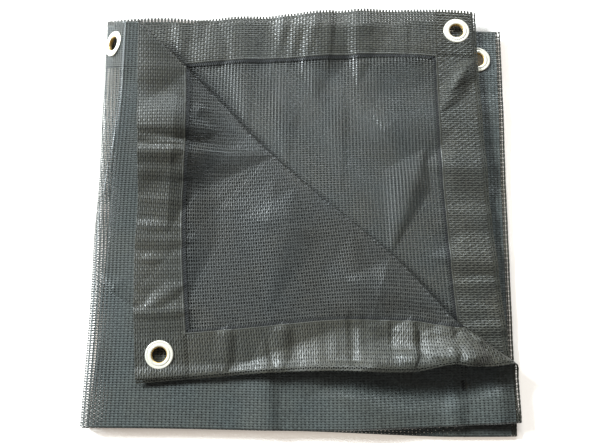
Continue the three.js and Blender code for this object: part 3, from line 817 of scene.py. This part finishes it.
def eyelet(name, materials):
    a, b = (np.array([value]) for value in EYELETS[name])
    point, along_a, along_b, inside = (rows[0] for rows in folded_frame(a, b))
    profile = eyelet_profile()
    angles = np.arange(EYELET["segments"]) * 2 * math.pi / EYELET["segments"]
    spoke = np.cos(angles)[:, None] * along_a + np.sin(angles)[:, None] * along_b
    middle = point + inside * PLY_GAP / 2
    points = middle + spoke[:, None, :] * profile[None, :, :1] + inside * profile[None, :, 1:]
    index = np.arange(len(angles) * len(profile)).reshape(len(angles), len(profile))
    after = np.roll(index, -1, axis=0)
    inward = np.roll(index, -1, axis=1)
    quads = np.stack([index, inward, np.roll(after, -1, axis=1), after], axis=-1).reshape(-1, 4)
    points = (points.reshape(-1, 3) + SHIFT) * MM
    radius = profile[:, 0]
    # The barrel and inner roll take the deeper gold of painted shade; the face takes the pale painted
    # highlight
    in_bore = (radius + np.roll(radius, -1)) / 2 < EYELET["bore"]
    kinds = np.tile(in_bore, len(angles))
    piece = mesh_piece(f"{name}_ring", points, quads, materials, True, kinds)
    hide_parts(name)


# Materials


def new_material(name):
    material = bpy.data.materials.new(name)
    material.use_nodes = True
    tree = material.node_tree
    return material, tree, tree.nodes["Principled BSDF"]


def add_noise(tree, look):
    coordinates = tree.nodes.new("ShaderNodeTexCoord")
    noise = tree.nodes.new("ShaderNodeTexNoise")
    noise.inputs["Scale"].default_value = look["scale"]
    noise.inputs["Detail"].default_value = look["detail"]
    tree.links.new(coordinates.outputs["Object"], noise.inputs["Vector"])
    return noise.outputs["Fac"]


def add_ramp(tree, value, low, high, span=NOISE_SPAN):
    ramp = tree.nodes.new("ShaderNodeValToRGB")
    for element, position, colour in zip(ramp.color_ramp.elements, span, (low, high)):
        element.position = position
        element.color = (*colour, 1)
    tree.links.new(value, ramp.inputs["Fac"])
    return ramp.outputs["Color"]


def add_range(tree, value, low, high, span=NOISE_SPAN):
    ranged = tree.nodes.new("ShaderNodeMapRange")
    ranged.inputs["From Min"].default_value = span[0]
    ranged.inputs["From Max"].default_value = span[1]
    ranged.inputs["To Min"].default_value = low
    ranged.inputs["To Max"].default_value = high
    tree.links.new(value, ranged.inputs["Value"])
    return ranged.outputs["Result"]


def yarn_material(name, cool, warm, roughness):
    """Dark drawn plastic yarn: its tint drifts over the cloth, its tone and gloss from yarn to yarn."""
    material, tree, shader = new_material(name)
    tint = add_ramp(tree, add_noise(tree, YARN_TINT), cool, warm, YARN_TINT["span"])
    fine = add_noise(tree, YARN_TONE)
    low, high = (YARN_TONE["low"],) * 3, (YARN_TONE["high"],) * 3
    dull, glossy = roughness + YARN_TONE["roughness"], roughness - YARN_TONE["roughness"]
    tone = tree.nodes.new("ShaderNodeMixRGB")
    tone.blend_type = "MULTIPLY"
    tone.inputs["Fac"].default_value = 1
    tree.links.new(tint, tone.inputs["Color1"])
    tree.links.new(add_ramp(tree, fine, low, high), tone.inputs["Color2"])
    tree.links.new(tone.outputs["Color"], shader.inputs["Base Color"])
    tree.links.new(add_range(tree, fine, dull, glossy), shader.inputs["Roughness"])
    return material


def metal_material(name, deep, pale):
    """Plated metal with faint clouding."""
    material, tree, shader = new_material(name)
    cloud = add_noise(tree, METAL_CLOUD)
    shader.inputs["Metallic"].default_value = METAL_CLOUD["metallic"]
    tree.links.new(add_ramp(tree, cloud, deep, pale), shader.inputs["Base Color"])
    tree.links.new(add_range(tree, cloud, *METAL_CLOUD["roughness"]), shader.inputs["Roughness"])
    return material


def add_glow(tree):
    """Strength of the floor's painted glow: none under the tarp, full outside it."""
    coordinates = tree.nodes.new("ShaderNodeTexCoord")
    parts = tree.nodes.new("ShaderNodeSeparateXYZ")
    tree.links.new(coordinates.outputs["Object"], parts.inputs["Vector"])
    strength = None
    for axis, start, stop in FLOOR_SHADE:
        ranged = add_range(tree, parts.outputs[axis], 0, FLOOR_GLOW, (start, stop))
        if strength is None:
            strength = ranged
            continue
        larger = tree.nodes.new("ShaderNodeMath")
        larger.operation = "MAXIMUM"
        tree.links.new(strength, larger.inputs[0])
        tree.links.new(ranged, larger.inputs[1])
        strength = larger.outputs["Value"]
    return strength


def floor_material():
    material, tree, shader = new_material("pale_floor")
    grain = add_noise(tree, FLOOR_GRAIN)
    colour = add_ramp(tree, grain, *FLOOR_COLOURS)
    tree.links.new(colour, shader.inputs["Base Color"])
    shader.inputs["Roughness"].default_value = FLOOR_GRAIN["roughness"]
    shader.inputs["Emission Color"].default_value = FLOOR_GLOW_COLOUR
    tree.links.new(add_glow(tree), shader.inputs["Emission Strength"])
    return material


# The tarp

yarns = {name: yarn_material(name, *look) for name, look in YARNS.items()}
metals = [metal_material(name, *look) for name, look in METALS.items()]

for name, strip in BORDER_NODES.items():
    # The upper quarter's inside takes the slightly lighter yarn with painted light
    inside = "mesh_flap_painted_light_yarn" if name == "upper" else "mesh_yarn"
    # Except on the upper quarter, the borders at the sides take the lighter yarn with painted light
    side = "border_yarn" if name == "upper" else "side_border_painted_light_yarn"
    cloth = cloth_quarter(name, [yarns[inside], yarns["mesh_face_painted_light_yarn"]])
    border = border_quarter(name, [yarns["border_yarn"], yarns[side]])
    # The stitches take the near-black thread, which also carries painted shade along the seam
    stitching = stitch_quarter(name, yarns["stitching_thread_and_painted_shade"])
    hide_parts("mesh_sheet")
    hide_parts(strip)
for name in EYELETS:
    eyelet(name, metals)

# Floor, light and camera


def add_floor():
    corners = [(FLOOR_SIZE * x, FLOOR_SIZE * y, 0) for x, y in ((-1, -1), (1, -1), (1, 1), (-1, 1))]
    mesh = bpy.data.meshes.new("floor")
    mesh.from_pydata(corners, [], [(0, 1, 2, 3)])
    mesh.materials.append(floor_material())
    floor = bpy.data.objects.new("floor", mesh)
    bpy.context.scene.collection.objects.link(floor)


def add_light(name, box):
    lamp = bpy.data.lights.new(name, "AREA")
    lamp.shape = "RECTANGLE"
    lamp.size, lamp.size_y = box.size
    lamp.energy = box.power
    lamp.color = box.colour
    light = bpy.data.objects.new(name, lamp)
    light.location = box.place
    light.rotation_euler = (-Vector(box.place)).to_track_quat("-Z", "Y").to_euler()
    bpy.context.scene.collection.objects.link(light)


def add_camera():
    target = Vector(SHIFT * MM) + Vector((0, 0, LOOK_HEIGHT * MM))
    back = Vector((0, -math.cos(CAMERA_ELEVATION), math.sin(CAMERA_ELEVATION)))
    lens = bpy.data.cameras.new("camera")
    lens.lens = LENS
    lens.sensor_width = SENSOR
    lens.clip_start = CAMERA_NEAR
    camera = bpy.data.objects.new("camera", lens)
    camera.location = target + back * CAMERA_DISTANCE * MM
    camera.rotation_euler = (-back).to_track_quat("-Z", "Y").to_euler()
    bpy.context.scene.collection.objects.link(camera)
    bpy.context.scene.camera = camera


def set_world():
    world = bpy.data.worlds.new("studio")
    world.use_nodes = True
    background = world.node_tree.nodes["Background"]
    background.inputs["Color"].default_value = WORLD["colour"]
    background.inputs["Strength"].default_value = WORLD["strength"]
    bpy.context.scene.world = world


add_floor()
set_world()
for name, box in LIGHTS.items():
    add_light(name, box)
add_camera()
bpy.context.scene.view_settings.view_transform = "Standard"
